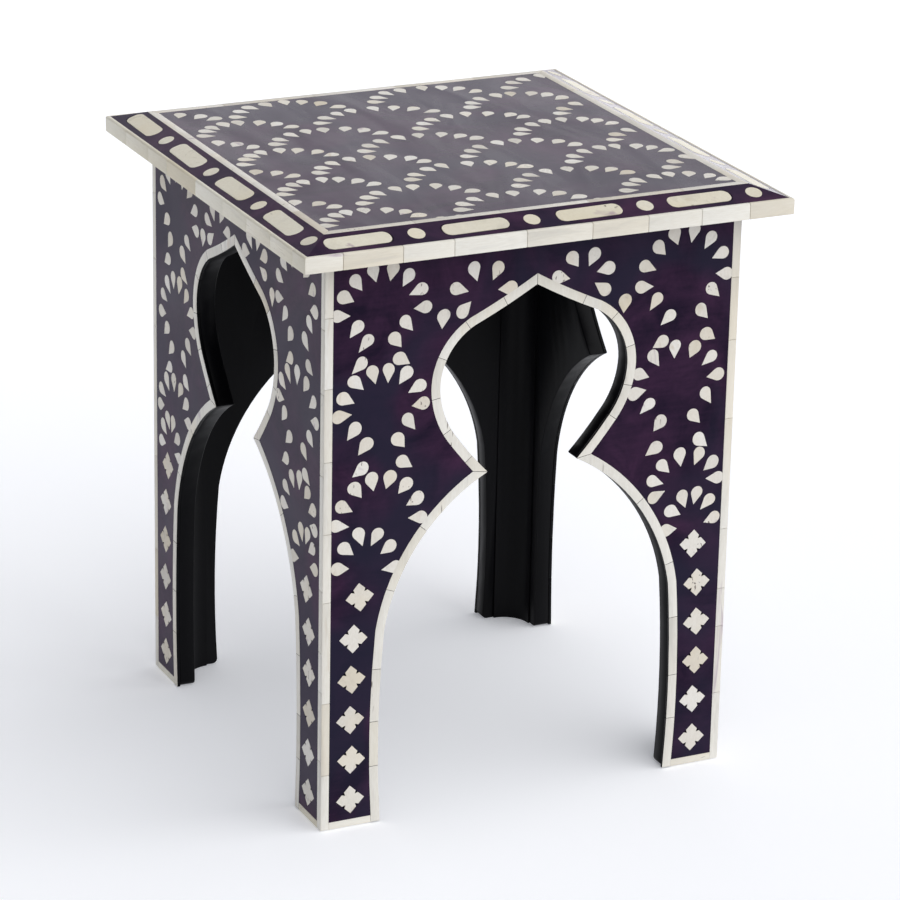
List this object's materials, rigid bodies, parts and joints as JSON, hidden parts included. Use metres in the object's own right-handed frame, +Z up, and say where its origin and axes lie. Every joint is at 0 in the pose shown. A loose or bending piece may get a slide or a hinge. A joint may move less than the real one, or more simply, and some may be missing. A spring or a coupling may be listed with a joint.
{
  "type": "moroccan kursi stool",
  "caption": "Square bone-inlay stool on four side panels, each cut with an ogee keyhole arch, under a top with a bevelled border.",
  "frame": {"origin": "on the floor under the middle of the stool", "axes": "+Z up, -Y towards the front side, +X to the right of the front side"},
  "size_m": [0.38, 0.38, 0.452],
  "materials": {
    "bone": "polished bone, satin",
    "resin": "dark cloudy resin, polished",
    "black_paint": "satin black paint on board",
    "bare_wood": "plain wood, hidden"
  },
  "bodies": {
    "root": {"arch_trim_back": "bone", "arch_trim_front": "bone", "arch_trim_left": "bone", "arch_trim_right": "bone", "border_discs": "bone", "border_lozenges": "bone", "corner_block_back_left": "black_paint", "corner_block_back_right": "black_paint", "corner_block_front_left": "black_paint", "corner_block_front_right": "black_paint", "corner_strips_back": "bone", "corner_strips_front": "bone", "corner_strips_left": "bone", "corner_strips_right": "bone", "face_resin_back": "resin", "face_resin_front": "resin", "face_resin_left": "resin", "face_resin_right": "resin", "foot_strips_back": "bone", "foot_strips_front": "bone", "foot_strips_left": "bone", "foot_strips_right": "bone", "panel_back": "black_paint", "panel_front": "black_paint", "panel_left": "black_paint", "panel_right": "black_paint", "rosettes_back": "bone", "rosettes_front": "bone", "rosettes_left": "bone", "rosettes_right": "bone", "top_board": "black_paint", "top_border": "resin", "top_edging_back": "bone", "top_edging_front": "bone", "top_edging_left": "bone", "top_edging_right": "bone", "top_field": "resin", "top_line": "bone", "top_tenons": "bare_wood"}
  },
  "joints": []
}
